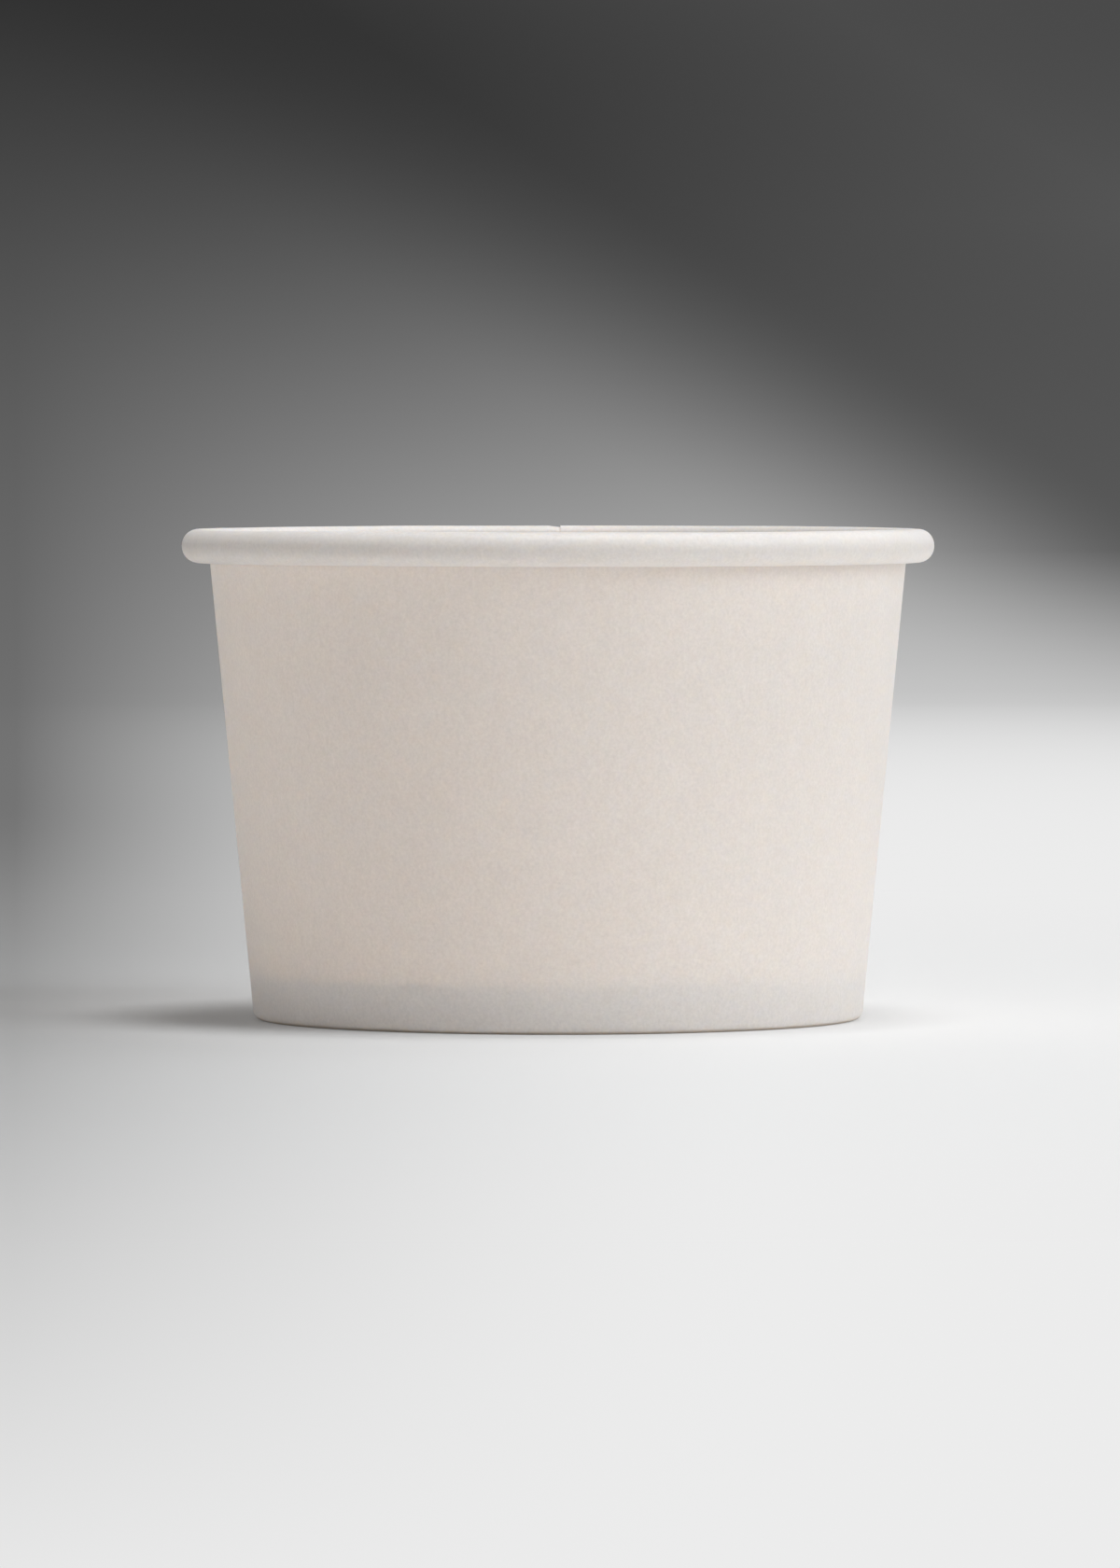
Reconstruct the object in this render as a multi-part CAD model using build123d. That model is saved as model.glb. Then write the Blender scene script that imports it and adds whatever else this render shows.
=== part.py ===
"""A single-wall paper sundae cup, made of two blanks of coated board.

The cup stands on its hem at z = 0 with its axis on +Z, and its lap seam is at the back, at +Y.
All sizes are in millimetres and degrees.

Both pieces are bent sheets. A sheet is drawn as a path: the straight runs of the face that
touches the food, in the plane of radius (x) and height (y). The board lies to the right of the
path, and a depth is measured into it from that face.
"""
from build123d import *
from math import atan, cos, degrees, radians, tan
import os

# The cup as a whole
height = 49.5
rim_diameter = 76.0
base_diameter = 61.5

# The boards
wall_board = 0.35
bottom_board = 0.30
glue_gap = 0.02  # between the flange and the fold that holds it

# The curl at the rim
curl_height = 3.6
curl_overhang = 2.85  # from the wall's outer face to the rim's edge
tail_length = 1.2  # turned up inside the curl
tail_gap = 0.15  # from the tail to the wall, and half of that at the lap

# The hem at the base
recess_depth = 4.9  # from the table to the underside of the bottom
hem_leg_gap = 0.55  # from the top of the folded leg to the underside of the bottom
fold_width = 0.86  # the hollow of the fold, inside the board
fold_height = 1.5
pinch_height = 0.7  # where the leg closes from the fold onto the flange
hem_outer_bend = 0.55  # bend radii on the hollow side of the board
hem_inner_bend = 0.20
pinch_bend = 0.90

# The bottom's flange
flange_clearance = 0.05  # from the hem's outer bend to the flange's lower edge
flange_bend = 0.50

# The lap seam of the wall
seam_angle = 89.6  # where the inner ply ends, from +X
lap_width = 7.0  # at half height
ramp_width = 1.1  # over which the outer ply steps down past the inner ply's end

# The bends in general
least_bend = 0.05  # the tightest bend drawn
least_run = 0.03  # the shortest straight run between two bends
round_share = 0.48  # the curl's widest bend, as a share of its height
rim_share = 0.85  # the rim's and the tail's bends, as shares of the room they have
tail_share = 0.88

base_radius = base_diameter / 2
rim_radius = rim_diameter / 2
neck_height = height - curl_height
neck_radius = rim_radius - curl_overhang
half_angle = degrees(atan((neck_radius - base_radius) / neck_height))
lap_angle = degrees(lap_width / ((base_radius + neck_radius) / 2))
ramp_angle = degrees(ramp_width / ((base_radius + neck_radius) / 2))

# A corner's bend takes its radius times this of each run: a sharp one at the wall's foot and
# rim, and a blunt one at the hem's leg and the curl's tail
foot_reach = tan(radians(45 - half_angle / 2))
tail_reach = tan(radians(45 + half_angle / 2))

flange_lift = 2 * wall_board + hem_outer_bend * foot_reach + flange_clearance

# The curl is as round as its height allows, with room for the tail where the board is double
tail_room = curl_overhang - wall_board - tail_gap / 2
widest_round = tail_room - (2 * wall_board + least_bend) * tail_reach - least_run
curl_round = min(round_share * curl_height, widest_round)
tail_bend = tail_share * (tail_room - curl_round) / tail_reach


def wall_point(level, depth):
    """A point at one height, so deep into the wall's board from its food side."""
    outwards = (depth - wall_board) / cos(radians(half_angle))
    return Vector(base_radius + level * tan(radians(half_angle)) + outwards, level)


def turn_sides(path):
    """For each corner, 1 where the path turns left and -1 where it turns right."""
    ways = [end - start for start, end in zip(path, path[1:])]
    return [1 if before.cross(after).Z > 0 else -1 for before, after in zip(ways, ways[1:])]


def shifted(path, depth):
    """The corners of the path moved into the board by the depth."""
    ways = [(end - start).normalized() for start, end in zip(path, path[1:])]
    rights = [Vector(way.Y, -way.X) for way in ways]
    corners = [path[0] + rights[0] * depth]
    for corner, before, after in zip(path[1:-1], rights, rights[1:]):
        corners.append(corner + (before + after) * (depth / (1 + before.dot(after))))
    corners.append(path[-1] + rights[-1] * depth)
    return corners


def sheet_face(path, bends, depth):
    """The line of the board's face at one depth, with its corners rounded."""
    radii = [max(bend + side * depth, least_bend) for bend, side in zip(bends, turn_sides(path))]
    return FilletPolyline(*shifted(path, depth), radius=radii)


def sheet_section(path, bends, near, far):
    """The section of the board between two depths, upright in the plane y = 0."""
    near_face = sheet_face(path, bends, near)
    far_face = sheet_face(path, bends, far)
    ends = [Line(near_face @ end, far_face @ end) for end in (0, 1)]
    return Plane.XZ * make_face([near_face, far_face, *ends])


def wall_section(near, far, plies):
    """The side wall's section, where so many plies of board lie on each other."""
    stack = plies * wall_board
    leg_top = recess_depth - hem_leg_gap
    slot = bottom_board + 2 * glue_gap
    rim_corner = wall_point(height, 0)
    tail_depth = stack + tail_gap / plies
    path = [
        wall_point(leg_top, -slot),
        wall_point(fold_height + pinch_height, -slot),
        wall_point(fold_height, -fold_width),
        wall_point(stack, -fold_width),
        wall_point(stack, 0),
        rim_corner,
        Vector(rim_radius, height),
        Vector(rim_radius, neck_height),
        wall_point(neck_height, tail_depth),
        wall_point(neck_height + tail_length, tail_depth),
    ]
    rim_bend = rim_share * (rim_radius - rim_corner.X - curl_round)
    bends = [
        pinch_bend,
        pinch_bend,
        hem_inner_bend,
        hem_outer_bend,
        rim_bend,
        curl_round,
        curl_round,
        tail_bend,
    ]
    return sheet_section(path, bends, near, far)


def side_wall():
    """The wall's one sheet: its round run, its lap and the ramp beside the lap."""
    single = wall_section(0, wall_board, plies=1)
    double = wall_section(0, 2 * wall_board, plies=2)
    outer_ply = wall_section(wall_board, 2 * wall_board, plies=2)
    round_run = revolve(single, Axis.Z, 360 - lap_angle - ramp_angle)
    lap = revolve(double, Axis.Z, lap_angle)
    ramp_ends = [Rot(Z=seam_angle) * outer_ply, Rot(Z=seam_angle + ramp_angle) * single]
    wall = Rot(Z=seam_angle + ramp_angle) * round_run
    wall += Rot(Z=seam_angle - lap_angle) * lap
    wall += loft(ramp_ends, ruled=True)
    return wall


def bottom_disc():
    """The bottom's round blank, with its edge turned down into a flange."""
    top = recess_depth + bottom_board
    path = [
        Vector(0, top),
        wall_point(top, -glue_gap),
        wall_point(flange_lift, -glue_gap),
    ]
    return revolve(sheet_section(path, [flange_bend], 0, bottom_board), Axis.Z)


os.makedirs("parts", exist_ok=True)
for name, piece in {"side_wall": side_wall(), "bottom_disc": bottom_disc()}.items():
    export_step(piece, f"parts/{name}.step")
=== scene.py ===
"""A short paper sundae cup: two bent blanks of coated board on a pale studio sweep.

Lengths are in metres and angles in radians. The cup stands on z = 0 with its axis on +Z.
"""

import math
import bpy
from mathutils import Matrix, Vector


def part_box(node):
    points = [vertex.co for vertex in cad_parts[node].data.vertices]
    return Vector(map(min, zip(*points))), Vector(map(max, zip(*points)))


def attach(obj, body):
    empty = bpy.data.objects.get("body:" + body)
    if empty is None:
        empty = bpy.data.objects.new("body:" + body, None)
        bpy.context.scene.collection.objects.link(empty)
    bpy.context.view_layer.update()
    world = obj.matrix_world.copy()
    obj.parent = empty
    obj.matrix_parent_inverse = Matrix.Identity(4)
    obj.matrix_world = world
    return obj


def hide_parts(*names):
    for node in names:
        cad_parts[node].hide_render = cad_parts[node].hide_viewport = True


bl_info = {
    "name": "Paper Sundae Cup",
    "version": (1, 0, 0),
    "blender": (4, 5, 0),
    "location": "3D View > Sidebar > Paper Cup",
    "description": "Bends the wall and the bottom of a single-wall paper cup from their blanks",
    "category": "Add Mesh",
}

import bpy
from bpy.props import FloatProperty, FloatVectorProperty, IntProperty, PointerProperty
from mathutils import Matrix, Vector

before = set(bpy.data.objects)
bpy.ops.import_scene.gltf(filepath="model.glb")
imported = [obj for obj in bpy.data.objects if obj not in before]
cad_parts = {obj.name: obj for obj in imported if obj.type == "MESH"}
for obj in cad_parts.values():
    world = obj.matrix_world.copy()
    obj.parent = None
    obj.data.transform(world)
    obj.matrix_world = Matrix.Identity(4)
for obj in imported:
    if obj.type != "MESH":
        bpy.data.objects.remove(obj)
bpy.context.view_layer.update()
MM = 0.001
RIM_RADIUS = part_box("side_wall")[1].x
CUP_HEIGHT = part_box("side_wall")[1].z
BOTTOM_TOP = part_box("bottom_disc")[1].z
FLANGE_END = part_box("bottom_disc")[0].z

# How finely the meshes are cut
ARC_STEPS = 9  # in each rounded corner of a section
LEG_STEPS, WALL_STEPS = 3, 18  # up the hem's leg and up the wall
DISC_STEPS, FLANGE_STEPS = 16, 4
FLOOR_RINGS = (0.25, 0.6)  # radii of the rings in the flat floor
SWEEP_STEPS, SWEEP_COLUMNS = 16, 128
WELD = 0.0005 * MM
SMOOTH_ANGLE = math.radians(38)  # edges that turn more than this stay sharp

# How the board is bent
RIM_SHARE = 0.85  # the bend between wall and curl, as a share of the room that it has
CRIMP_MARGIN = 0.3 * MM  # from the crimps to the leg's raw edge
STEP_HALF_WIDTH = math.radians(0.006)  # half of what a cut edge's face takes, round the cup
BEYOND_TURN = 2 * math.tau  # a seam here is past the last column, so the bottom has none
PRESS_START, PRESS_END = 0.86, 0.95  # shares of the height between which the rim is pressed
PRESS_LEAVES = 0.45  # the share of the inner step that is left in the pressed rim
NOISE_GAIN = 4.0  # takes centred noise to about -1 to 1
RIPPLE_SCALE = 4.0  # turns of the ripple's noise, against the rim's own stray
WAVE_SCALE = 1.7
WAVE_POWER = 6.0  # keeps the wave up and down near the rim

# The board's mottle and relief
FIBRE_STRETCH = (1.0, 1.0, 0.6)
FIBRE_SHARE, GRAIN_SHARE = 0.4, 0.9  # of the mottle
ROUGH_MOTTLE = 0.12  # how much the mottle changes the roughness
GRAIN_RELIEF = 0.5  # against the fibres' relief
COATED_RELIEF = 0.5  # the share of the relief that the coating fills
BUMP_STRENGTH = 0.5
NOISE_ROUGHNESS = 0.6

# The sweep's tones hold near the cup and fade with the distance behind it, which goes on up the
# wall at CLIMB times its height
CLIMB = 4.0
LIT_TONE, LIT_REACH, LIT_STEEPNESS = 0.84, 1.60, 4.0
DIM_TONE, DIM_REACH, DIM_STEEPNESS = 0.175, 1.98, 5.0
DIM_FRONT = (-0.6, 0.63)  # over which the dim side loses the light of the floor in front,
DIM_FRONT_TONE, DIM_FRONT_FALLOFF = 0.70, 1.8  # which starts as this and goes this fast

# The edge of the pool of light, across the floor: dim on its left and lit on its right
POOL_EDGE = (-0.055, 0.025)
POOL_WIDENING = 0.92  # for each metre behind the cup
POOL_NARROWEST = 0.4
POOL_FALLOFF = 1.7

# The shaded corner of the wall: its tones by height, and the slanting edge where it starts
BAND_LEVELS = (0.02, 0.165)
BAND_LOW_TONE, BAND_HIGH_TONE = 0.10, 0.034
BAND_ACROSS, BAND_UP = 0.561, 0.828  # the direction in which the shade comes in
BAND_EDGE = (0.047, 0.110)
BAND_RISE, BAND_ON_FLOOR = 27.0, 0.15  # how the shade fades in above the floor
BEYOND_BAND = 0.1016  # past this it grows lighter again,
BEYOND_MOST = 0.07  # for so far,
BEYOND_LEVELS = (0.05, 0.11)  # between these heights,
BEYOND_GAIN = 0.5  # by so much for each metre

# How much of the sweep's shade is painted, and how much the lamps make
TONE_HELD = 0.25  # the share of the tones that colours the light thrown back on the cup
GLOW_SPAN = (0.09, 0.30)  # distances from the axis between which the tones take over
NEAR_GLOW = 0.42  # what they already are beside the cup, on the lit side,
NEAR_GLOW_LEFT = -0.55  # and how that changes to the dim side
LAMP_AIM = (0, 0, 0.03)


# ---------------------------------------------------------------- sizes and colours


def length(name, description, default):
    return FloatProperty(
        name=name,
        description=description,
        default=default,
        unit="LENGTH",
        subtype="DISTANCE",
        precision=5,
    )


def angle(name, description, degrees):
    return FloatProperty(
        name=name,
        description=description,
        default=math.radians(degrees),
        unit="ROTATION",
        subtype="ANGLE",
    )


def share(name, description, default, highest=1.0):
    return FloatProperty(
        name=name, description=description, default=default, min=0.0, max=highest, subtype="FACTOR"
    )


def number(name, description, default):
    return FloatProperty(name=name, description=description, default=default)


def count(name, description, default):
    return IntProperty(name=name, description=description, default=default, min=0)


def place(name, description, default):
    return FloatVectorProperty(
        name=name, description=description, default=default, unit="LENGTH", subtype="TRANSLATION"
    )


def colour(name, description, default):
    return FloatVectorProperty(
        name=name,
        description=description,
        default=default,
        size=4,
        min=0.0,
        max=1.0,
        subtype="COLOR",
    )


class SundaeCupSizes(bpy.types.PropertyGroup):
    """The sizes of the cup's two blanks, once bent."""

    rim_radius: length("Rim radius", "From the axis to the edge of the curl", RIM_RADIUS)
    height: length("Height", "From the table to the top of the curl", CUP_HEIGHT)
    base_radius: length("Base radius", "Where the wall's outer face meets the table", 30.75 * MM)
    wall_board: length("Wall board", "Thickness of the wall's board", 0.35 * MM)
    curl_height: length("Curl height", "Height of the rolled rim", 3.38 * MM)
    curl_overhang: length("Curl overhang", "How far the curl stands out of the wall", 2.85 * MM)
    curl_upper_bend: length("Curl upper bend", "Radius of the curl's upper outer round", 1.62 * MM)
    curl_lower_bend: length("Curl lower bend", "Radius of the curl's lower outer round", 1.62 * MM)
    tail_length: length("Tail length", "What is turned up inside the curl", 1.2 * MM)
    tail_gap: length("Tail gap", "Between the tail and the wall", 0.05 * MM)
    tail_bend: length("Tail bend", "Radius where the curl turns up inside", 0.72 * MM)
    leg_top: length("Hem leg top", "Height of the folded hem's raw edge", 4.35 * MM)
    slot: length("Hem slot", "What the hem leaves for the bottom's flange", 0.34 * MM)
    fold_width: length("Fold width", "Hollow of the hem's fold", 0.86 * MM)
    fold_height: length("Fold height", "Height of the hem's fold", 1.5 * MM)
    pinch_height: length("Pinch height", "Where the fold closes on the flange", 0.7 * MM)
    hem_outer_bend: length("Hem outer bend", "Radius at the wall's foot", 0.55 * MM)
    hem_inner_bend: length("Hem inner bend", "Radius at the leg's foot", 0.22 * MM)
    pinch_bend: length("Pinch bend", "Radii where the fold closes", 0.9 * MM)
    bottom_top: length("Bottom height", "Height of the bottom's food side", BOTTOM_TOP)
    bottom_board: length("Bottom board", "Thickness of the bottom's board", 0.30 * MM)
    flange_end: length("Flange end", "Height of the flange's lower edge", FLANGE_END)
    flange_bend: length("Flange bend", "Radius between the bottom and its flange", 0.5 * MM)
    glue_gap: length("Glue gap", "Between the flange and the wall", 0.02 * MM)
    seam_angle: angle("Seam angle", "Where the inner ply ends", 89.6)
    lap_angle: angle("Lap angle", "How far the outer ply lies over the inner one", 12.2)
    ramp_angle: angle("Ramp angle", "Over which the outer ply steps down", 2.2)
    wander: length("Wander", "How far the rim strays from a true circle", 0.05 * MM)
    rim_wave: length("Rim wave", "How far the rim strays up and down", 0.05 * MM)
    ripple: length("Ripple", "Shallow unevenness of the board", 0.012 * MM)
    crimps: count("Crimps", "Marks pressed round the inside of the hem", 90)
    crimp_depth: length("Crimp depth", "Depth of each pressed mark", 0.045 * MM)
    columns: count("Columns", "Mesh columns round the cup", 480)
    seed: number("Seed", "Changes how the cup strays from true", 3.0)


class SundaePaperLook(bpy.types.PropertyGroup):
    """The colours and finish of the board."""

    wall: colour("Wall", "Colour of the wall's board", (0.81, 0.765, 0.738, 1.0))
    bottom: colour("Bottom", "Colour of the bottom's board", (0.81, 0.765, 0.738, 1.0))
    # Painted as a thin warm brown line round the foot's lowest edge, darker than the board
    tint: colour("Foot tint", "Colour of the brownish line along the foot", (0.62, 0.52, 0.43, 1.0))
    mottle: share("Mottle", "Contrast of the board's fine mottle", 0.13)
    cloud: share("Cloud", "Contrast of the board's wider clouds", 0.03)
    grain_depth: length("Grain depth", "Height of the fibre grain", 0.012 * MM)
    fibre_scale: number("Fibre scale", "Fibres to the metre", 2000.0)
    grain_scale: number("Grain scale", "Grains to the metre", 3400.0)
    cloud_scale: number("Cloud scale", "Clouds to the metre", 330.0)
    # These paint that thin warm brown line round the foot's lowest edge: how strong it is, and the
    # heights over which it fades out
    foot_line: share("Foot line", "How strongly the foot's brownish line shows", 0.85)
    foot_line_low: length("Scuff low", "Height at which the brownish line starts to fade", 0.10 * MM)
    foot_line_high: length("Scuff high", "Height at which the brownish line ends", 0.40 * MM)
    roughness: share("Roughness", "Roughness of the bare outer side", 0.72)
    coating: share("Coating", "How much less rough the coated food side is", 0.22)
    shine: share("Shine", "Strength of the board's reflections", 0.35)
    glow: share("Glow", "How much light soaks into the board", 1.0)
    soak: length("Soak", "How far light travels in the board", 0.52 * MM)
    soak_colour: colour("Soak colour", "How far each colour of it goes", (1.0, 0.88, 0.72, 1.0))


class SundaeStudio(bpy.types.PropertyGroup):
    """The floor, the light and the camera."""

    floor: colour("Floor", "Colour that the floor throws back on the cup", (0.95, 0.92, 0.89, 1.0))
    floor_radius: length("Floor radius", "How far the floor lies flat", 1.25)
    sweep_bend: length("Sweep bend", "Radius of the sweep behind it", 0.35)
    sweep_top: length("Sweep top", "Height of the sweep", 0.75)
    top: number("Top light", "Power of the softbox overhead, in watts", 14.0)
    key: number("Key light", "Power of the softbox at the front right, in watts", 7.35)
    back: number("Back light", "Power of the softbox behind, in watts", 2.6)
    top_place: place("Top place", "Where the softbox overhead hangs", (0.14, -0.10, 1.62))
    key_place: place("Key place", "Where the softbox at the front right is", (1.08, -0.62, 0.85))
    back_place: place("Back place", "Where the softbox behind is", (0.62, 0.74, 1.18))
    top_size: length("Top size", "Side of the softbox overhead", 0.5)
    side_size: length("Side size", "Side of the other two softboxes", 0.8)
    white: colour("White", "Colour of the light overhead and behind", (1.0, 1.0, 1.0, 1.0))
    cool: colour("Cool", "Colour of the light at the front right", (0.92, 0.97, 1.0, 1.0))
    ambient: number("Ambient light", "Strength of the light all round", 0.20)
    eye_distance: length("Eye distance", "From the cup's axis to the camera", 1.084)
    eye_height: length("Eye height", "Height of the camera", 0.0597)
    aim_height: length("Aim height", "Height that the camera looks at", 0.0237)
    eye_offset: length("Eye offset", "How far to the right the camera stands", 0.0002)
    sensor: number("Sensor", "Width of the camera's sensor, in millimetres", 36.0)
    lens: number("Lens", "Focal length on that sensor, in millimetres", 246.2)
    floor_roughness: share("Floor roughness", "Roughness of the floor", 0.9)
    floor_shine: share("Floor shine", "Strength of the floor's reflections", 0.1)


# ---------------------------------------------------------------- sections of bent board


def sheet_line(corners, bends, run_steps):
    """Points along the food side of a bent sheet, each with its direction into the board.

    corners are the ends of the straight runs, as (radius, height); bends are the radii between
    them, and run_steps says how many steps each straight run is cut into.
    """
    ways = [(end - start).normalized() for start, end in zip(corners, corners[1:])]
    inward = [Vector((way.y, -way.x)) for way in ways]
    starts, ends, turns = [corners[0]], [], []
    for corner, before, after, bend in zip(corners[1:-1], ways, ways[1:], bends):
        turn = math.atan2(before.cross(after), before.dot(after))
        cut = bend * math.tan(abs(turn) / 2)
        ends.append(corner - before * cut)
        starts.append(corner + after * cut)
        turns.append(turn)
    ends.append(corners[-1])
    line = []
    for i, (start, end, steps) in enumerate(zip(starts, ends, run_steps)):
        line += [(start.lerp(end, step / steps), inward[i]) for step in range(steps + 1)]
        if i == len(turns):
            break
        centre = end - inward[i] * math.copysign(bends[i], turns[i])
        for step in range(1, ARC_STEPS):
            swing = Matrix.Rotation(turns[i] * step / ARC_STEPS, 2)
            line.append((centre + swing @ (end - centre), swing @ inward[i]))
    return line


def wall_point(sizes, level, depth):
    """A point of the wall's board at one height, so deep into it from the food side."""
    neck_level = sizes.height - sizes.curl_height
    neck_radius = sizes.rim_radius - sizes.curl_overhang
    slope = math.atan((neck_radius - sizes.base_radius) / neck_level)
    outwards = (depth - sizes.wall_board) / math.cos(slope)
    return Vector((sizes.base_radius + level * math.tan(slope) + outwards, level))


def wall_line(sizes, plies):
    """The side wall from the hem's leg to the curl's tail, where so many plies lie together."""
    stack = plies * sizes.wall_board
    neck_level = sizes.height - sizes.curl_height
    tail_depth = stack + sizes.tail_gap
    rim_corner = wall_point(sizes, sizes.height, 0)
    corners = [
        wall_point(sizes, sizes.leg_top, -sizes.slot),
        wall_point(sizes, sizes.fold_height + sizes.pinch_height, -sizes.slot),
        wall_point(sizes, sizes.fold_height, -sizes.fold_width),
        wall_point(sizes, stack, -sizes.fold_width),
        wall_point(sizes, stack, 0),
        rim_corner,
        Vector((sizes.rim_radius, sizes.height)),
        Vector((sizes.rim_radius, neck_level)),
        wall_point(sizes, neck_level, tail_depth),
        wall_point(sizes, neck_level + sizes.tail_length, tail_depth),
    ]
    rim_bend = RIM_SHARE * (sizes.rim_radius - rim_corner.x - sizes.curl_upper_bend)
    bends = [
        sizes.pinch_bend,
        sizes.pinch_bend,
        sizes.hem_inner_bend,
        sizes.hem_outer_bend,
        rim_bend,
        sizes.curl_upper_bend,
        sizes.curl_lower_bend,
        sizes.tail_bend,
    ]
    return sheet_line(corners, bends, run_steps=[LEG_STEPS, 1, 1, 1, WALL_STEPS, 1, 1, 1, 1])


def bottom_line(sizes):
    """The bottom from its centre to the flange's edge."""
    corners = [
        Vector((0, sizes.bottom_top)),
        wall_point(sizes, sizes.bottom_top, -sizes.glue_gap),
        wall_point(sizes, sizes.flange_end, -sizes.glue_gap),
    ]
    return sheet_line(corners, [sizes.flange_bend], run_steps=[DISC_STEPS, FLANGE_STEPS])


def section_mesh(name, line, lapped_line, crimp_levels):
    """A closed loop of points round the board's section, with what the bending needs to know.

    It lies in the plane y = 0. Each point keeps its direction into the board, how far it shifts
    where the board is lapped, which face it is on, and whether the hem's crimps press it.
    """
    order = [(i, 0.0) for i in range(len(line))] + [(i, 1.0) for i in reversed(range(len(line)))]
    low, high = crimp_levels
    on_leg = len(line) // 4
    values = {
        "inward": ("FLOAT_VECTOR", []),
        "lap_shift": ("FLOAT_VECTOR", []),
        "far_face": ("FLOAT", []),
        "crimp": ("FLOAT", []),
    }
    points = []
    for i, side in order:
        point, way = line[i]
        move = lapped_line[i][0] - point
        points.append((point.x, 0, point.y))
        values["inward"][1].extend((way.x, 0, way.y))
        values["lap_shift"][1].extend((move.x, 0, move.y))
        values["far_face"][1].append(side)
        values["crimp"][1].append(float(i < on_leg and low < point.y < high))
    mesh = bpy.data.meshes.new(name)
    mesh.from_pydata(points, [(at, (at + 1) % len(points)) for at in range(len(points))], [])
    for key, (kind, numbers) in values.items():
        field = "vector" if kind == "FLOAT_VECTOR" else "value"
        mesh.attributes.new(key, kind, "POINT").data.foreach_set(field, numbers)
    return mesh


# ---------------------------------------------------------------- geometry nodes


def add_node(tree, kind, inputs=None, **settings):
    """Adds a node, sets it up, and gives each named input a value or a link."""
    node = tree.nodes.new(kind)
    for key, value in settings.items():
        setattr(node, key, value)
    for key, value in (inputs or {}).items():
        if isinstance(value, bpy.types.NodeSocket):
            tree.links.new(value, node.inputs[key])
        else:
            node.inputs[key].default_value = value
    return node


def calc(tree, operation, *values, clamp=False):
    """A Math node's result."""
    inputs = dict(enumerate(values))
    node = add_node(tree, "ShaderNodeMath", inputs, operation=operation, use_clamp=clamp)
    return node.outputs[0]


def vector_calc(tree, operation, first, second):
    """A Vector Math node's result. Scaling takes a number as its second value."""
    node = add_node(tree, "ShaderNodeVectorMath", {0: first}, operation=operation)
    place = "Scale" if operation == "SCALE" else 1
    if isinstance(second, bpy.types.NodeSocket):
        tree.links.new(second, node.inputs[place])
    else:
        node.inputs[place].default_value = second
    return node.outputs[0]


def parts(tree, vector):
    """A vector's X, Y and Z."""
    return add_node(tree, "ShaderNodeSeparateXYZ", {0: vector}).outputs


def joined(tree, x, y, z):
    """A vector of three numbers."""
    return add_node(tree, "ShaderNodeCombineXYZ", {"X": x, "Y": y, "Z": z}).outputs[0]


def mapped(tree, value, span, low=0.0, high=1.0, kind="LINEAR"):
    """What goes from low to high while the value crosses the span, and no further."""
    inputs = {"Value": value, "From Min": span[0], "From Max": span[1]}
    inputs |= {"To Min": low, "To Max": high}
    return add_node(tree, "ShaderNodeMapRange", inputs, interpolation_type=kind).outputs[0]


def blended(tree, factor, first, second):
    """A mix of two colours."""
    inputs = {"Factor": factor, "A": first, "B": second}
    return add_node(tree, "ShaderNodeMix", inputs, data_type="RGBA").outputs["Result"]


def tree_inputs(tree, sockets):
    """Gives the tree its geometry in and out and the named inputs, and returns the inputs' node."""
    interface = tree.interface
    interface.new_socket("Geometry", in_out="OUTPUT", socket_type="NodeSocketGeometry")
    interface.new_socket("Section", in_out="INPUT", socket_type="NodeSocketGeometry")
    for name, kind in sockets.items():
        interface.new_socket(name, in_out="INPUT", socket_type=kind)
    return tree.nodes.new("NodeGroupInput")


def section_value(tree, section, index, kind, name):
    """What a named attribute of the section says at one of its points."""
    field = add_node(tree, "GeometryNodeInputNamedAttribute", {"Name": name}, data_type=kind)
    sample = add_node(
        tree,
        "GeometryNodeSampleIndex",
        {"Geometry": section, "Value": field.outputs[0], "Index": index},
        data_type=kind,
    )
    return sample.outputs[0]


def snapped(tree, turn, pitch, edge):
    """The turn angle, with the columns on both sides of a cut edge moved up to it."""
    steps = calc(tree, "DIVIDE", calc(tree, "SUBTRACT", turn, edge), pitch)
    near = calc(tree, "LESS_THAN", calc(tree, "ABSOLUTE", steps), 1.0)
    beside = calc(tree, "MULTIPLY_ADD", calc(tree, "SIGN", steps), STEP_HALF_WIDTH, edge)
    move = calc(tree, "SUBTRACT", beside, turn)
    return calc(tree, "MULTIPLY_ADD", move, near, turn)


def wavering(tree, where, seed):
    """Smooth noise from about -1 to 1 at a place."""
    noise = add_node(
        tree,
        "ShaderNodeTexNoise",
        {"Vector": where, "W": seed, "Scale": 1.0, "Detail": 1.0},
        noise_dimensions="4D",
    )
    centred = calc(tree, "SUBTRACT", noise.outputs[0], 0.5)
    return calc(tree, "MULTIPLY", centred, NOISE_GAIN)


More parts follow.
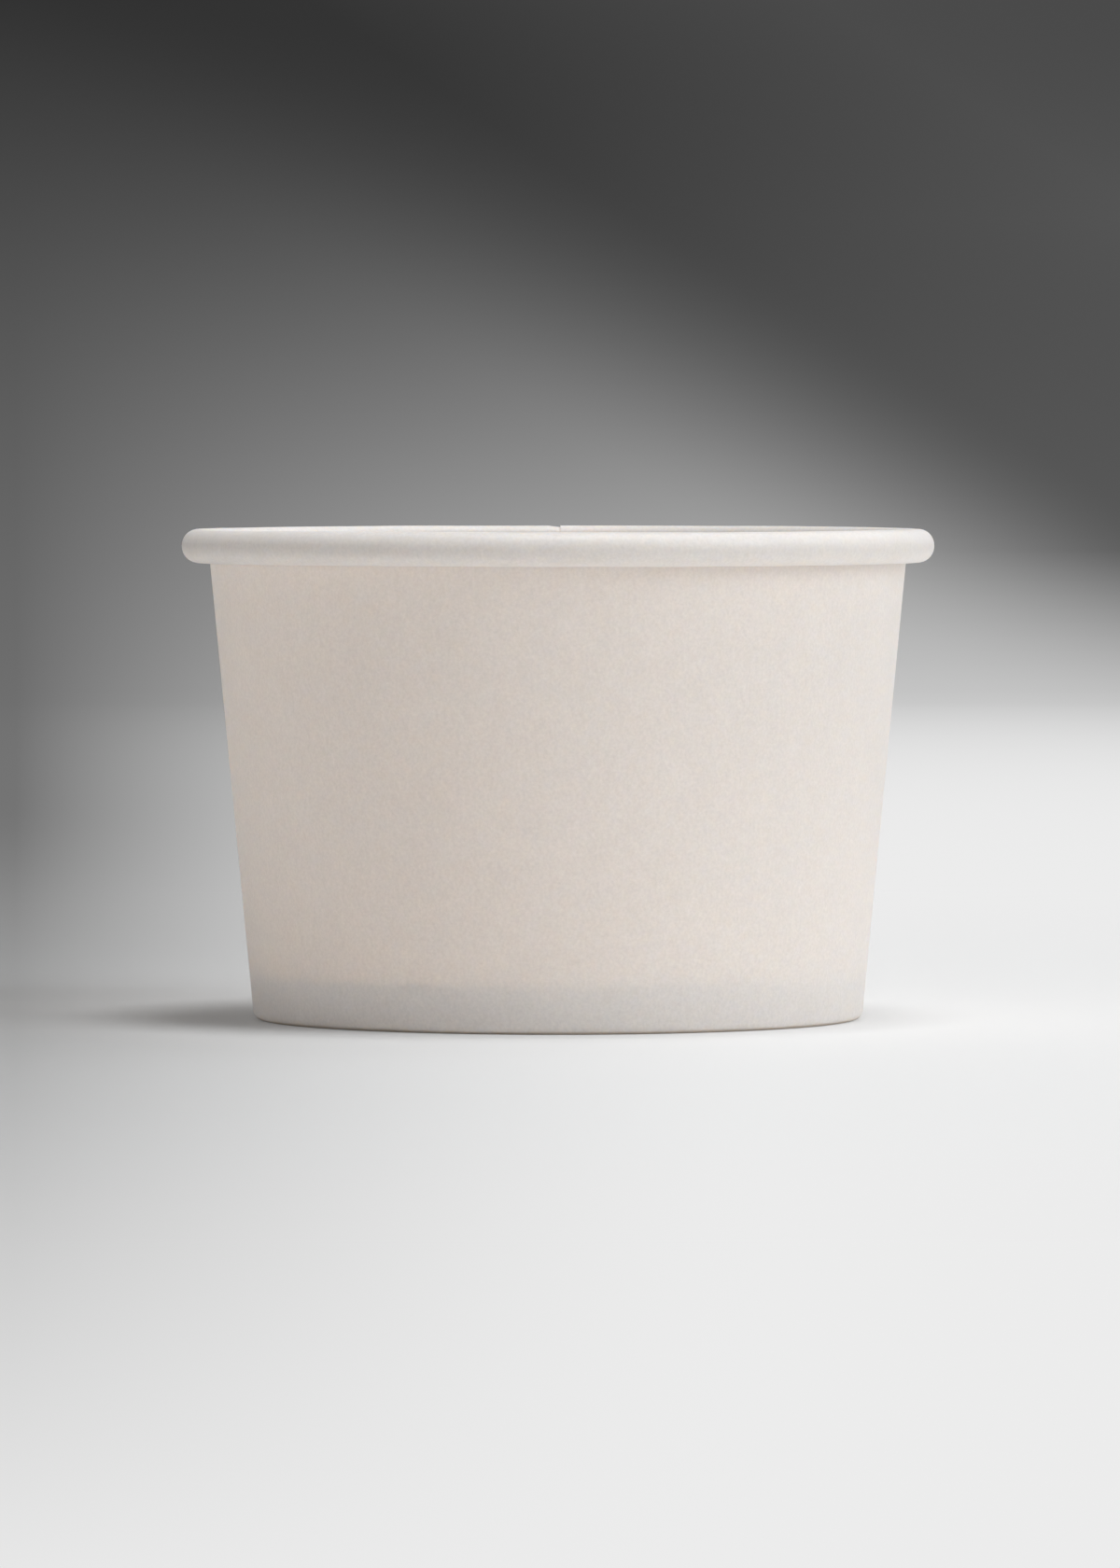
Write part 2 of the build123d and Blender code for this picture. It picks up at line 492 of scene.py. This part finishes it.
def bent_sheet_tree():
    """Bends a board's section round the axis, with its lap, its cut edges and its crimps."""
    tree = bpy.data.node_groups.new("Bent sheet", "GeometryNodeTree")
    tree.is_modifier = True
    given = tree_inputs(
        tree,
        {
            "Columns": "NodeSocketInt",
            "Board": "NodeSocketFloat",
            "Height": "NodeSocketFloat",
            "Seam Angle": "NodeSocketFloat",
            "Lap Angle": "NodeSocketFloat",
            "Ramp Angle": "NodeSocketFloat",
            "Wander": "NodeSocketFloat",
            "Rim Wave": "NodeSocketFloat",
            "Ripple": "NodeSocketFloat",
            "Crimps": "NodeSocketInt",
            "Crimp Depth": "NodeSocketFloat",
            "Seed": "NodeSocketFloat",
            "Paper": "NodeSocketMaterial",
        },
    ).outputs
    section = given["Section"]
    size = add_node(tree, "GeometryNodeAttributeDomainSize", {"Geometry": section})
    points = size.outputs["Point Count"]
    rows = calc(tree, "ADD", points, 1.0)
    grid = add_node(
        tree,
        "GeometryNodeMeshGrid",
        {
            "Size X": 1.0,
            "Size Y": 1.0,
            "Vertices X": calc(tree, "ADD", given["Columns"], 1.0),
            "Vertices Y": rows,
        },
    )
    index = tree.nodes.new("GeometryNodeInputIndex").outputs[0]
    column = calc(tree, "FLOOR", calc(tree, "DIVIDE", calc(tree, "ADD", index, 0.5), rows))
    row = calc(tree, "SUBTRACT", index, calc(tree, "MULTIPLY", column, rows))
    last_row = calc(tree, "SUBTRACT", points, 0.5)
    place = calc(tree, "MULTIPLY", row, calc(tree, "LESS_THAN", row, last_row))

    pitch = calc(tree, "DIVIDE", math.tau, given["Columns"])
    seam = given["Seam Angle"]
    lap_start = calc(tree, "SUBTRACT", seam, given["Lap Angle"])
    turn = snapped(tree, calc(tree, "MULTIPLY", column, pitch), pitch, seam)
    turn = snapped(tree, turn, pitch, lap_start)
    past_seam = calc(tree, "GREATER_THAN", turn, seam)
    in_lap = calc(
        tree,
        "MULTIPLY",
        calc(tree, "GREATER_THAN", turn, lap_start),
        calc(tree, "SUBTRACT", 1.0, past_seam),
    )
    down = calc(tree, "DIVIDE", calc(tree, "SUBTRACT", turn, seam), given["Ramp Angle"])
    eased = mapped(tree, down, (0.0, 1.0), 1.0, 0.0, "SMOOTHSTEP")
    ramp = calc(tree, "MULTIPLY", eased, past_seam)
    lapped = calc(tree, "ADD", in_lap, ramp)

    position = add_node(
        tree,
        "GeometryNodeSampleIndex",
        {
            "Geometry": section,
            "Value": tree.nodes.new("GeometryNodeInputPosition").outputs[0],
            "Index": place,
        },
        data_type="FLOAT_VECTOR",
    ).outputs[0]
    inward = section_value(tree, section, place, "FLOAT_VECTOR", "inward")
    lap_shift = section_value(tree, section, place, "FLOAT_VECTOR", "lap_shift")
    far = section_value(tree, section, place, "FLOAT", "far_face")
    crimped = section_value(tree, section, place, "FLOAT", "crimp")

    far_plies = calc(tree, "MULTIPLY", far, calc(tree, "ADD", lapped, 1.0))
    near_plies = calc(tree, "MULTIPLY", ramp, calc(tree, "SUBTRACT", 1.0, far))
    share_up = calc(tree, "DIVIDE", parts(tree, position)["Z"], given["Height"])
    unpressed = mapped(tree, share_up, (PRESS_START, PRESS_END), 1.0, PRESS_LEAVES)
    near_plies = calc(tree, "MULTIPLY", near_plies, unpressed)
    depth = calc(tree, "MULTIPLY", calc(tree, "ADD", far_plies, near_plies), given["Board"])
    pressed = calc(tree, "COSINE", calc(tree, "MULTIPLY", turn, given["Crimps"]))
    pressed = calc(tree, "MULTIPLY_ADD", pressed, 0.5, 0.5)
    pressed = calc(tree, "MULTIPLY", calc(tree, "MULTIPLY", pressed, crimped), given["Crimp Depth"])
    depth = calc(tree, "ADD", depth, pressed)
    bent = vector_calc(tree, "ADD", position, vector_calc(tree, "SCALE", inward, depth))
    bent = vector_calc(tree, "ADD", bent, vector_calc(tree, "SCALE", lap_shift, lapped))

    flat = parts(tree, bent)
    level = calc(tree, "DIVIDE", flat["Z"], given["Height"])
    around = joined(tree, calc(tree, "COSINE", turn), calc(tree, "SINE", turn), 0.0)
    slow = wavering(tree, around, given["Seed"])
    up_wall = joined(tree, 0.0, 0.0, level)
    shallow = vector_calc(tree, "SCALE", vector_calc(tree, "ADD", around, up_wall), RIPPLE_SCALE)
    uneven = calc(tree, "MULTIPLY", wavering(tree, shallow, given["Seed"]), given["Ripple"])
    stray = calc(tree, "MULTIPLY", slow, given["Wander"])
    stray = calc(tree, "MULTIPLY", calc(tree, "ADD", stray, uneven), level)
    off_axis = calc(tree, "GREATER_THAN", flat["X"], MM)
    radius = calc(tree, "ADD", flat["X"], calc(tree, "MULTIPLY", stray, off_axis))
    quick_turn = vector_calc(tree, "SCALE", around, WAVE_SCALE)
    wave = calc(tree, "MULTIPLY", wavering(tree, quick_turn, given["Seed"]), given["Rim Wave"])
    near_rim = calc(tree, "POWER", calc(tree, "MAXIMUM", level, 0.0), WAVE_POWER)
    lift = calc(tree, "MULTIPLY", wave, near_rim)
    where = vector_calc(tree, "SCALE", around, radius)
    up = joined(tree, 0.0, 0.0, calc(tree, "ADD", flat["Z"], lift))
    placed = add_node(
        tree,
        "GeometryNodeSetPosition",
        {"Geometry": grid.outputs["Mesh"], "Position": vector_calc(tree, "ADD", where, up)},
    )
    marked = add_node(
        tree,
        "GeometryNodeStoreNamedAttribute",
        {
            "Geometry": placed.outputs[0],
            "Name": "coated",
            "Value": calc(tree, "SUBTRACT", 1.0, far),
        },
        data_type="FLOAT",
        domain="POINT",
    )
    welded = add_node(
        tree,
        "GeometryNodeMergeByDistance",
        {"Geometry": marked.outputs[0], "Distance": WELD},
    )
    outward = add_node(tree, "GeometryNodeFlipFaces", {"Mesh": welded.outputs[0]})
    smooth = add_node(tree, "GeometryNodeSetShadeSmooth", {"Geometry": outward.outputs[0]})
    real = add_node(tree, "GeometryNodeRealizeInstances", {"Geometry": smooth.outputs[0]})
    papered = add_node(
        tree,
        "GeometryNodeSetMaterial",
        {"Geometry": real.outputs[0], "Material": given["Paper"]},
    )
    add_node(tree, "NodeGroupOutput", {"Geometry": papered.outputs[0]})
    return tree


def bend_sheet(name, section, tree, values):
    """Runs the tree on a section and returns the bent board as an object of its own."""
    source = bpy.data.objects.new(name + "_section", section)
    bpy.context.scene.collection.objects.link(source)
    bending = source.modifiers.new("Bending", "NODES")
    bending.node_group = tree
    for item in tree.interface.items_tree:
        if item.in_out == "INPUT" and item.name in values:
            bending[item.identifier] = values[item.name]
    graph = bpy.context.evaluated_depsgraph_get()
    mesh = bpy.data.meshes.new_from_object(source.evaluated_get(graph))
    mesh.name = name
    bpy.data.objects.remove(source)
    bpy.data.meshes.remove(section)
    mesh.set_sharp_from_angle(angle=SMOOTH_ANGLE)
    piece = bpy.data.objects.new(name, mesh)
    bpy.context.scene.collection.objects.link(piece)
    return piece


# ---------------------------------------------------------------- materials


def paper(name, colour, look):
    """Board with fibre mottle, a smoother coated food side and light soaking through it."""
    material = bpy.data.materials.new(name)
    material.use_nodes = True
    tree = material.node_tree
    shader = tree.nodes["Principled BSDF"]
    here = tree.nodes.new("ShaderNodeTexCoord").outputs["Object"]

    def noise(scale, detail, stretch=(1.0, 1.0, 1.0)):
        turned = add_node(tree, "ShaderNodeMapping", {"Vector": here, "Scale": stretch})
        inputs = {"Vector": turned.outputs[0], "Scale": scale, "Detail": detail}
        inputs["Roughness"] = NOISE_ROUGHNESS
        return add_node(tree, "ShaderNodeTexNoise", inputs).outputs[0]

    grain = noise(look.grain_scale, detail=4.0)
    fibre = noise(look.fibre_scale, detail=3.0, stretch=FIBRE_STRETCH)
    cloud = noise(look.cloud_scale, detail=3.0)
    grains = calc(tree, "MULTIPLY", grain, GRAIN_SHARE)
    mottle = calc(tree, "MULTIPLY_ADD", fibre, FIBRE_SHARE, grains)
    mottle = calc(tree, "SUBTRACT", mottle, (FIBRE_SHARE + GRAIN_SHARE) / 2)
    clouds = calc(tree, "SUBTRACT", cloud, 0.5)
    tone = calc(tree, "MULTIPLY_ADD", mottle, look.mottle * 2, 1.0)
    tone = calc(tree, "MULTIPLY_ADD", clouds, look.cloud * 2, tone)
    toned = vector_calc(tree, "SCALE", tuple(colour)[:3], tone)

    # A thin warm brown line is painted round the foot's lowest edge and fades out a little way up
    level = parts(tree, here)["Z"]
    foot_line_span = (look.foot_line_low, look.foot_line_high)
    foot_line = mapped(tree, level, foot_line_span, 1.0, 0.0, "SMOOTHSTEP")
    foot_line = calc(tree, "MULTIPLY", foot_line, look.foot_line)
    tree.links.new(blended(tree, foot_line, toned, tuple(look.tint)), shader.inputs["Base Color"])

    coated = add_node(tree, "ShaderNodeAttribute", attribute_name="coated").outputs["Fac"]
    rough = calc(tree, "MULTIPLY_ADD", coated, -look.coating, look.roughness)
    rough = calc(tree, "MULTIPLY_ADD", mottle, ROUGH_MOTTLE, rough)
    tree.links.new(rough, shader.inputs["Roughness"])
    relief = calc(tree, "MULTIPLY_ADD", grain, GRAIN_RELIEF, fibre)
    bare = calc(tree, "MULTIPLY_ADD", coated, -COATED_RELIEF, 1.0)
    inputs = {
        "Height": calc(tree, "MULTIPLY", relief, bare),
        "Strength": BUMP_STRENGTH,
        "Distance": look.grain_depth,
    }
    bump = add_node(tree, "ShaderNodeBump", inputs)
    tree.links.new(bump.outputs[0], shader.inputs["Normal"])
    shader.inputs["Subsurface Weight"].default_value = look.glow
    shader.inputs["Subsurface Radius"].default_value = look.soak_colour[:3]
    shader.inputs["Subsurface Scale"].default_value = look.soak
    shader.inputs["Specular IOR Level"].default_value = look.shine
    return material


def fading(tree, climb, tone, reach, steepness):
    """A tone that holds near the cup and fades beyond the reach, the faster the steeper."""
    ahead = calc(tree, "MAXIMUM", calc(tree, "DIVIDE", climb, reach), 0.0)
    loss = calc(tree, "MULTIPLY", calc(tree, "POWER", ahead, steepness), -1.0)
    return calc(tree, "MULTIPLY", calc(tree, "EXPONENT", loss), tone)


def pool_dimness(tree, place):
    """How far a place on the sweep is out of the pool of light, to its left."""
    widening = calc(tree, "MULTIPLY_ADD", place["Y"], POOL_WIDENING, 1.0)
    widening = calc(tree, "MAXIMUM", widening, POOL_NARROWEST)
    across = calc(tree, "DIVIDE", place["X"], widening)
    return calc(tree, "POWER", mapped(tree, across, POOL_EDGE, 1.0, 0.0), POOL_FALLOFF)


def shaded_corner(tree, place, pool):
    """The pool's tones with the slanting shade over the wall's upper right corner."""
    across = calc(tree, "MULTIPLY", place["X"], BAND_ACROSS)
    diagonal = calc(tree, "MULTIPLY_ADD", place["Z"], BAND_UP, across)
    shade = mapped(tree, diagonal, BAND_EDGE, kind="SMOOTHSTEP")
    raised = calc(tree, "MULTIPLY_ADD", place["Z"], BAND_RISE, BAND_ON_FLOOR, clamp=True)
    beyond = calc(tree, "MAXIMUM", calc(tree, "SUBTRACT", diagonal, BEYOND_BAND), 0.0)
    beyond = calc(tree, "MINIMUM", beyond, BEYOND_MOST)
    high = mapped(tree, place["Z"], BEYOND_LEVELS, high=BEYOND_GAIN)
    gain = calc(tree, "MULTIPLY", beyond, high)
    tones = (BAND_LOW_TONE, BAND_HIGH_TONE)
    band = mapped(tree, place["Z"], BAND_LEVELS, *tones, kind="SMOOTHSTEP")
    band = calc(tree, "ADD", band, gain)
    return blended(tree, calc(tree, "MULTIPLY", shade, raised), pool, band)


def studio_sweep(look):
    """A pale floor in a pool of light, darker to the left and up the wall behind.

    Straight looks and reflections see its tones. The light that it throws back on the cup keeps
    nearly the floor's own colour, and near the cup the floor takes the cup's shadow.
    """
    material = bpy.data.materials.new("Studio sweep")
    material.use_nodes = True
    tree = material.node_tree
    shader = tree.nodes["Principled BSDF"]
    here = tree.nodes.new("ShaderNodeTexCoord").outputs["Object"]
    place = parts(tree, here)
    climb = calc(tree, "MULTIPLY_ADD", place["Z"], CLIMB, place["Y"])
    lit = fading(tree, climb, LIT_TONE, LIT_REACH, LIT_STEEPNESS)
    dim = fading(tree, climb, DIM_TONE, DIM_REACH, DIM_STEEPNESS)
    front = calc(tree, "POWER", mapped(tree, climb, DIM_FRONT, 1.0, 0.0), DIM_FRONT_FALLOFF)
    dim = calc(tree, "MULTIPLY_ADD", front, DIM_FRONT_TONE, dim)
    left = pool_dimness(tree, place)
    toned = shaded_corner(tree, place, blended(tree, left, lit, dim))

    ray = tree.nodes.new("ShaderNodeLightPath").outputs
    seen = calc(tree, "MAXIMUM", ray["Is Camera Ray"], ray["Is Glossy Ray"])
    seen = calc(tree, "MAXIMUM", seen, ray["Is Transmission Ray"])
    held = calc(tree, "MULTIPLY_ADD", seen, 1.0 - TONE_HELD, TONE_HELD)
    tree.links.new(blended(tree, held, tuple(look.floor), toned), shader.inputs["Base Color"])
    shader.inputs["Roughness"].default_value = look.floor_roughness
    shader.inputs["Specular IOR Level"].default_value = look.floor_shine

    glow = add_node(tree, "ShaderNodeEmission", {"Color": toned}).outputs[0]
    apart = add_node(tree, "ShaderNodeVectorMath", {0: here}, operation="LENGTH").outputs["Value"]
    near = calc(tree, "MULTIPLY_ADD", left, NEAR_GLOW_LEFT, NEAR_GLOW, clamp=True)
    far = mapped(tree, apart, GLOW_SPAN, near, 1.0, "SMOOTHSTEP")
    glowing = calc(tree, "MULTIPLY", far, seen)
    surface = add_node(tree, "ShaderNodeMixShader", {0: glowing, 1: shader.outputs[0], 2: glow})
    tree.links.new(surface.outputs[0], tree.nodes["Material Output"].inputs["Surface"])
    return material


# ---------------------------------------------------------------- operators


class SUNDAE_OT_side_wall(bpy.types.Operator):
    """Bends the wall's blank into the hem, the lapped wall and the curled rim"""

    bl_idname = "sundae.side_wall"
    bl_label = "Side Wall"

    def execute(self, context):
        sizes, look = context.scene.sundae_sizes, context.scene.sundae_paper
        crimp_levels = (sizes.fold_height + sizes.pinch_height, sizes.leg_top - CRIMP_MARGIN)
        section = section_mesh("wall", wall_line(sizes, 1), wall_line(sizes, 2), crimp_levels)
        values = {
            "Columns": sizes.columns,
            "Board": sizes.wall_board,
            "Height": sizes.height,
            "Seam Angle": sizes.seam_angle,
            "Lap Angle": sizes.lap_angle,
            "Ramp Angle": sizes.ramp_angle,
            "Wander": sizes.wander,
            "Rim Wave": sizes.rim_wave,
            "Ripple": sizes.ripple,
            "Crimps": sizes.crimps,
            "Crimp Depth": sizes.crimp_depth,
            "Seed": sizes.seed,
            "Paper": paper("Wall board", look.wall, look),
        }
        piece = bend_sheet("side_wall_board", section, bent_sheet_tree(), values)
        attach(piece, "root")
        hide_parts("side_wall")
        return {"FINISHED"}


class SUNDAE_OT_bottom_disc(bpy.types.Operator):
    """Bends the bottom's round blank down into its flange"""

    bl_idname = "sundae.bottom_disc"
    bl_label = "Bottom Disc"

    def execute(self, context):
        sizes, look = context.scene.sundae_sizes, context.scene.sundae_paper
        line = bottom_line(sizes)
        section = section_mesh("bottom", line, line, (0.0, 0.0))
        values = {
            "Columns": sizes.columns // 2,
            "Board": sizes.bottom_board,
            "Height": sizes.height,
            "Seam Angle": BEYOND_TURN,
            "Wander": sizes.wander,
            "Ripple": sizes.ripple,
            "Seed": sizes.seed,
            "Paper": paper("Bottom board", look.bottom, look),
        }
        piece = bend_sheet("bottom_disc_board", section, bent_sheet_tree(), values)
        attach(piece, "root")
        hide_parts("bottom_disc")
        return {"FINISHED"}


def sweep_mesh(look):
    """A round floor that bends up into a low wall, as one surface turned about the axis."""
    profile = [(out, 0.0) for out in (*FLOOR_RINGS, look.floor_radius)]
    for step in range(1, SWEEP_STEPS + 1):
        swing = math.pi / 2 * step / SWEEP_STEPS
        out = look.floor_radius + look.sweep_bend * math.sin(swing)
        profile.append((out, look.sweep_bend * (1 - math.cos(swing))))
    profile.append((look.floor_radius + look.sweep_bend, look.sweep_top))
    points, faces = [(0.0, 0.0, 0.0)], []
    for out, up in profile:
        for i in range(SWEEP_COLUMNS):
            swing = math.tau * i / SWEEP_COLUMNS
            points.append((out * math.cos(swing), out * math.sin(swing), up))
    for i in range(SWEEP_COLUMNS):
        after = (i + 1) % SWEEP_COLUMNS
        faces.append((0, 1 + i, 1 + after))
        for ring in range(len(profile) - 1):
            low = 1 + ring * SWEEP_COLUMNS
            high = low + SWEEP_COLUMNS
            faces.append((low + i, high + i, high + after, low + after))
    mesh = bpy.data.meshes.new("studio_sweep")
    mesh.from_pydata(points, [], faces)
    mesh.shade_smooth()
    return mesh


def softbox(name, place, size, power, tint):
    """A square lamp that faces the cup."""
    lamp = bpy.data.lights.new(name, "AREA")
    lamp.size = size
    lamp.energy = power
    lamp.color = tint[:3]
    holder = bpy.data.objects.new(name, lamp)
    holder.location = place
    turn = (Vector(LAMP_AIM) - holder.location).to_track_quat("-Z", "Y")
    holder.rotation_euler = turn.to_euler()
    bpy.context.scene.collection.objects.link(holder)


class SUNDAE_OT_stage(bpy.types.Operator):
    """Sets up the floor, the soft light and the camera"""

    bl_idname = "sundae.stage"
    bl_label = "Studio"

    def execute(self, context):
        scene = context.scene
        look = scene.sundae_studio
        mesh = sweep_mesh(look)
        mesh.materials.append(studio_sweep(look))
        sweep = bpy.data.objects.new("studio_sweep", mesh)
        scene.collection.objects.link(sweep)
        softbox("top_lamp", look.top_place, look.top_size, look.top, look.white)
        softbox("key_lamp", look.key_place, look.side_size, look.key, look.cool)
        softbox("back_lamp", look.back_place, look.side_size, look.back, look.white)
        world = bpy.data.worlds.new("Studio")
        world.use_nodes = True
        background = world.node_tree.nodes["Background"]
        background.inputs["Color"].default_value = look.white
        background.inputs["Strength"].default_value = look.ambient
        scene.world = world
        camera = bpy.data.cameras.new("camera")
        camera.sensor_width = look.sensor
        camera.lens = look.lens
        camera.clip_start = 0.01
        eye = bpy.data.objects.new("camera", camera)
        eye.location = (look.eye_offset, -look.eye_distance, look.eye_height)
        aim = Vector((look.eye_offset, 0, look.aim_height))
        eye.rotation_euler = (aim - eye.location).to_track_quat("-Z", "Y").to_euler()
        scene.collection.objects.link(eye)
        scene.camera = eye
        scene.view_settings.view_transform = "Standard"
        return {"FINISHED"}


class SUNDAE_PT_cup(bpy.types.Panel):
    """Lists the cup's sizes, its board and the studio"""

    bl_label = "Paper Sundae Cup"
    bl_idname = "SUNDAE_PT_cup"
    bl_space_type = "VIEW_3D"
    bl_region_type = "UI"
    bl_category = "Paper Cup"

    def draw(self, context):
        groups = {
            SUNDAE_OT_side_wall.bl_idname: context.scene.sundae_sizes,
            SUNDAE_OT_bottom_disc.bl_idname: context.scene.sundae_paper,
            SUNDAE_OT_stage.bl_idname: context.scene.sundae_studio,
        }
        for operator, group in groups.items():
            box = self.layout.box()
            for name in group.__annotations__:
                box.prop(group, name)
            box.operator(operator)


# ---------------------------------------------------------------- registering and running

CLASSES = (
    SundaeCupSizes,
    SundaePaperLook,
    SundaeStudio,
    SUNDAE_OT_side_wall,
    SUNDAE_OT_bottom_disc,
    SUNDAE_OT_stage,
    SUNDAE_PT_cup,
)


def register():
    for cls in CLASSES:
        bpy.utils.register_class(cls)
    bpy.types.Scene.sundae_sizes = PointerProperty(type=SundaeCupSizes)
    bpy.types.Scene.sundae_paper = PointerProperty(type=SundaePaperLook)
    bpy.types.Scene.sundae_studio = PointerProperty(type=SundaeStudio)


def unregister():
    del bpy.types.Scene.sundae_studio
    del bpy.types.Scene.sundae_paper
    del bpy.types.Scene.sundae_sizes
    for cls in reversed(CLASSES):
        bpy.utils.unregister_class(cls)


def main():
    register()
    bpy.ops.sundae.stage()
    bpy.ops.sundae.side_wall()
    bpy.ops.sundae.bottom_disc()


if __name__ == "__main__":
    main()
